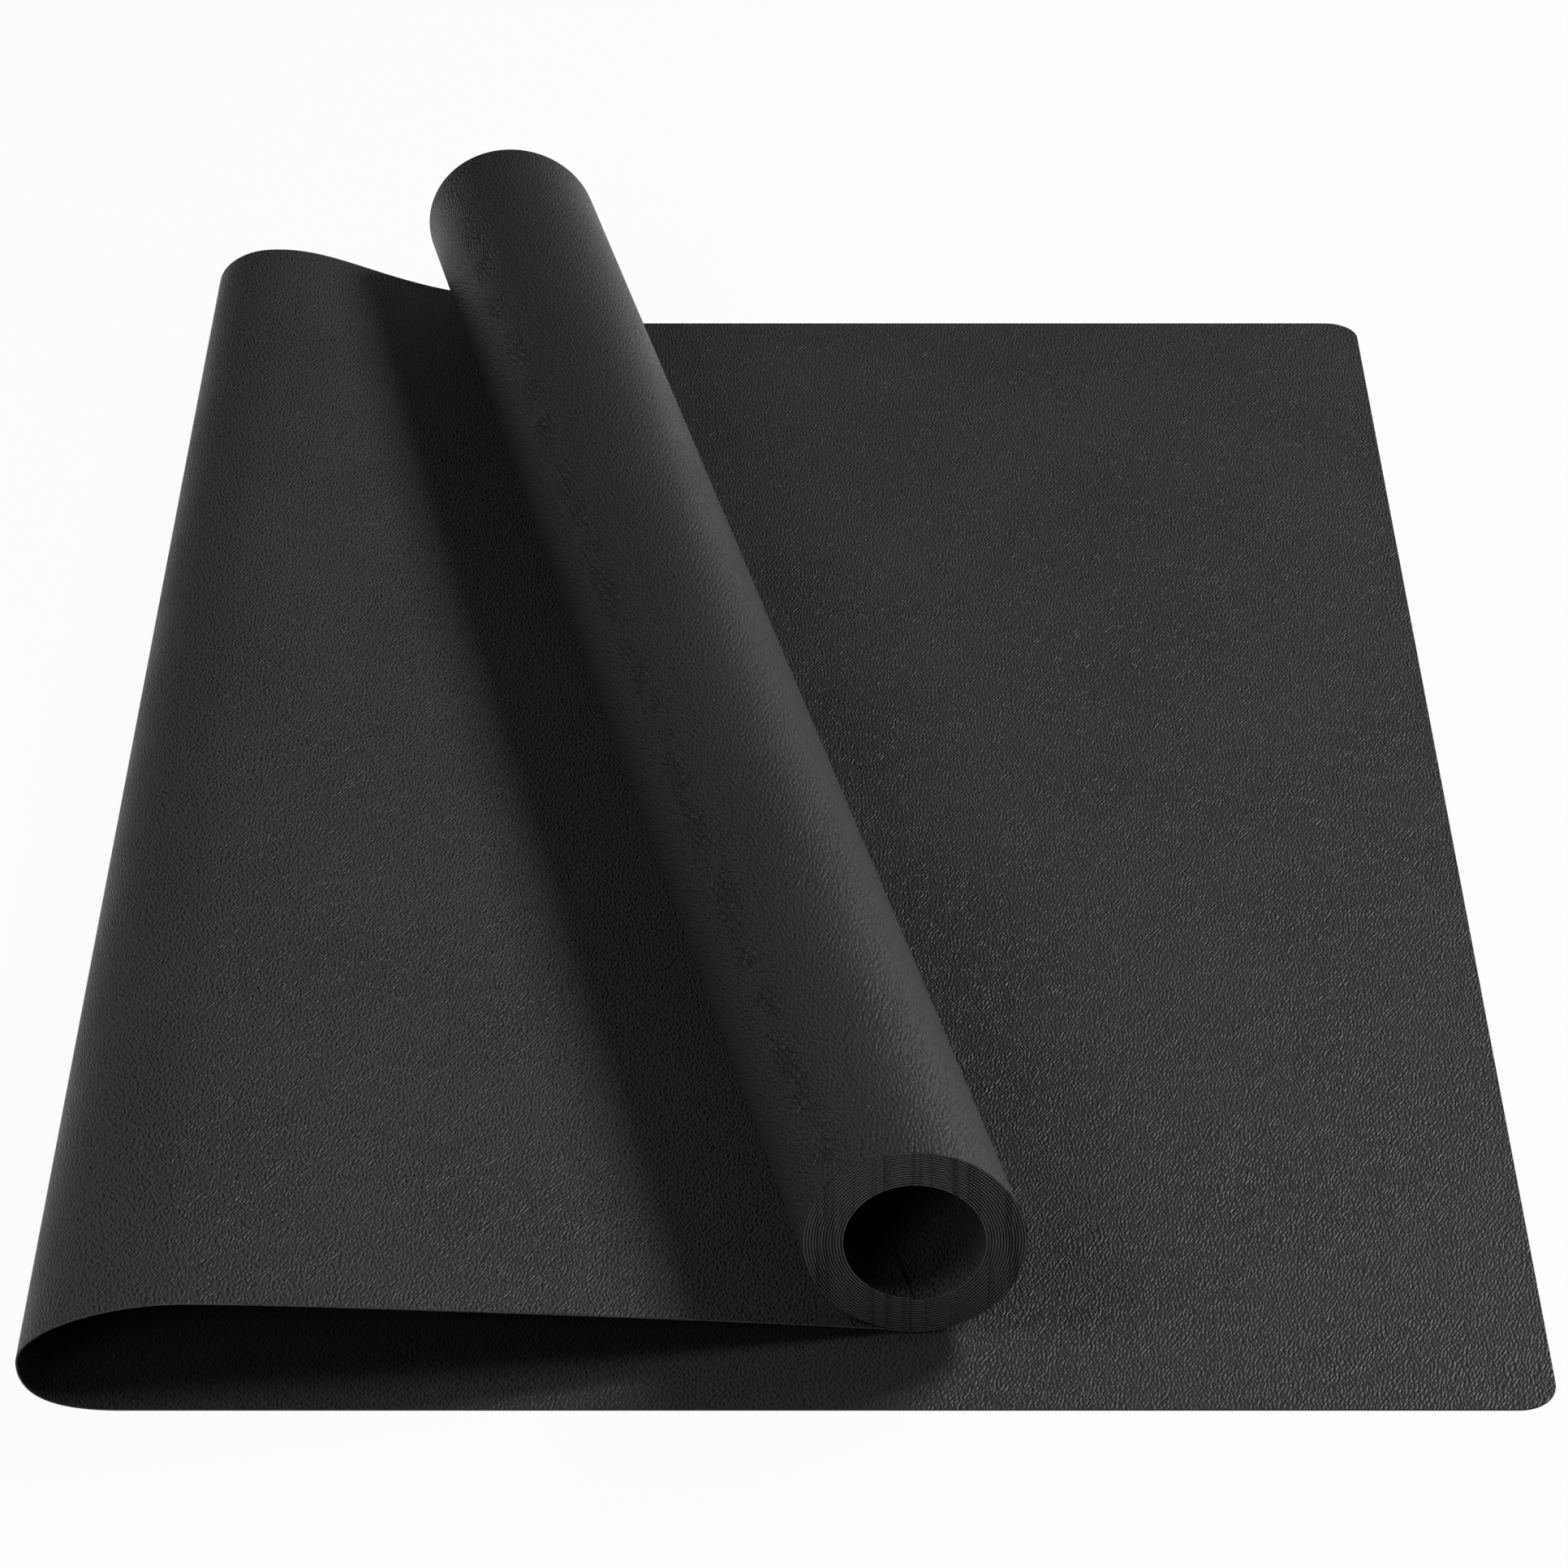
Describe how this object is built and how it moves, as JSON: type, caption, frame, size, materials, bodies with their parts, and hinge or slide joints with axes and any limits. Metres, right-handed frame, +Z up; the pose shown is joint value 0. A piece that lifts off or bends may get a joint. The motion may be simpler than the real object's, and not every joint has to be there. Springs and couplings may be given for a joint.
{
  "type": "desk mat",
  "caption": "Thin double-sided leathercloth desk mat, lying flat at one side, turned over at the other and wound into a loose hollow roll.",
  "frame": {"origin": "middle of the whole shape's outline, on the desk top", "axes": "+Z up, +Y along the mat's short free edge towards its far long edge, +X from the bend towards the free edge"},
  "size_m": [0.3, 0.4628, 0.0452],
  "materials": {
    "face_skin": "fine embossed grain, low sheen",
    "core_cloth": "matt knitted backing, seen only at the cut edges",
    "back_skin": "fine embossed grain, low sheen"
  },
  "bodies": {
    "base": {"base_back_skin": "back_skin", "base_core": "core_cloth", "base_face_skin": "face_skin", "lower_bend_back_skin": "back_skin", "lower_bend_core": "core_cloth", "lower_bend_face_skin": "face_skin"},
    "flap": {"upper_bend_back_skin": "back_skin", "upper_bend_core": "core_cloth", "upper_bend_face_skin": "face_skin", "flap_back_skin": "back_skin", "flap_core": "core_cloth", "flap_face_skin": "face_skin", "outer_turn_back_skin": "back_skin", "outer_turn_core": "core_cloth", "outer_turn_face_skin": "face_skin", "middle_turns_back_skin": "back_skin", "middle_turns_core": "core_cloth", "middle_turns_face_skin": "face_skin", "inner_turn_back_skin": "back_skin", "inner_turn_core": "core_cloth", "inner_turn_face_skin": "face_skin"}
  },
  "joints": [
    {"name": "bend", "type": "hinge", "parent": "base", "child": "flap", "pos_m": [-0.15, 0, 0.0116], "axis": [0, -1, 0], "range_deg": [0, 160]}
  ]
}
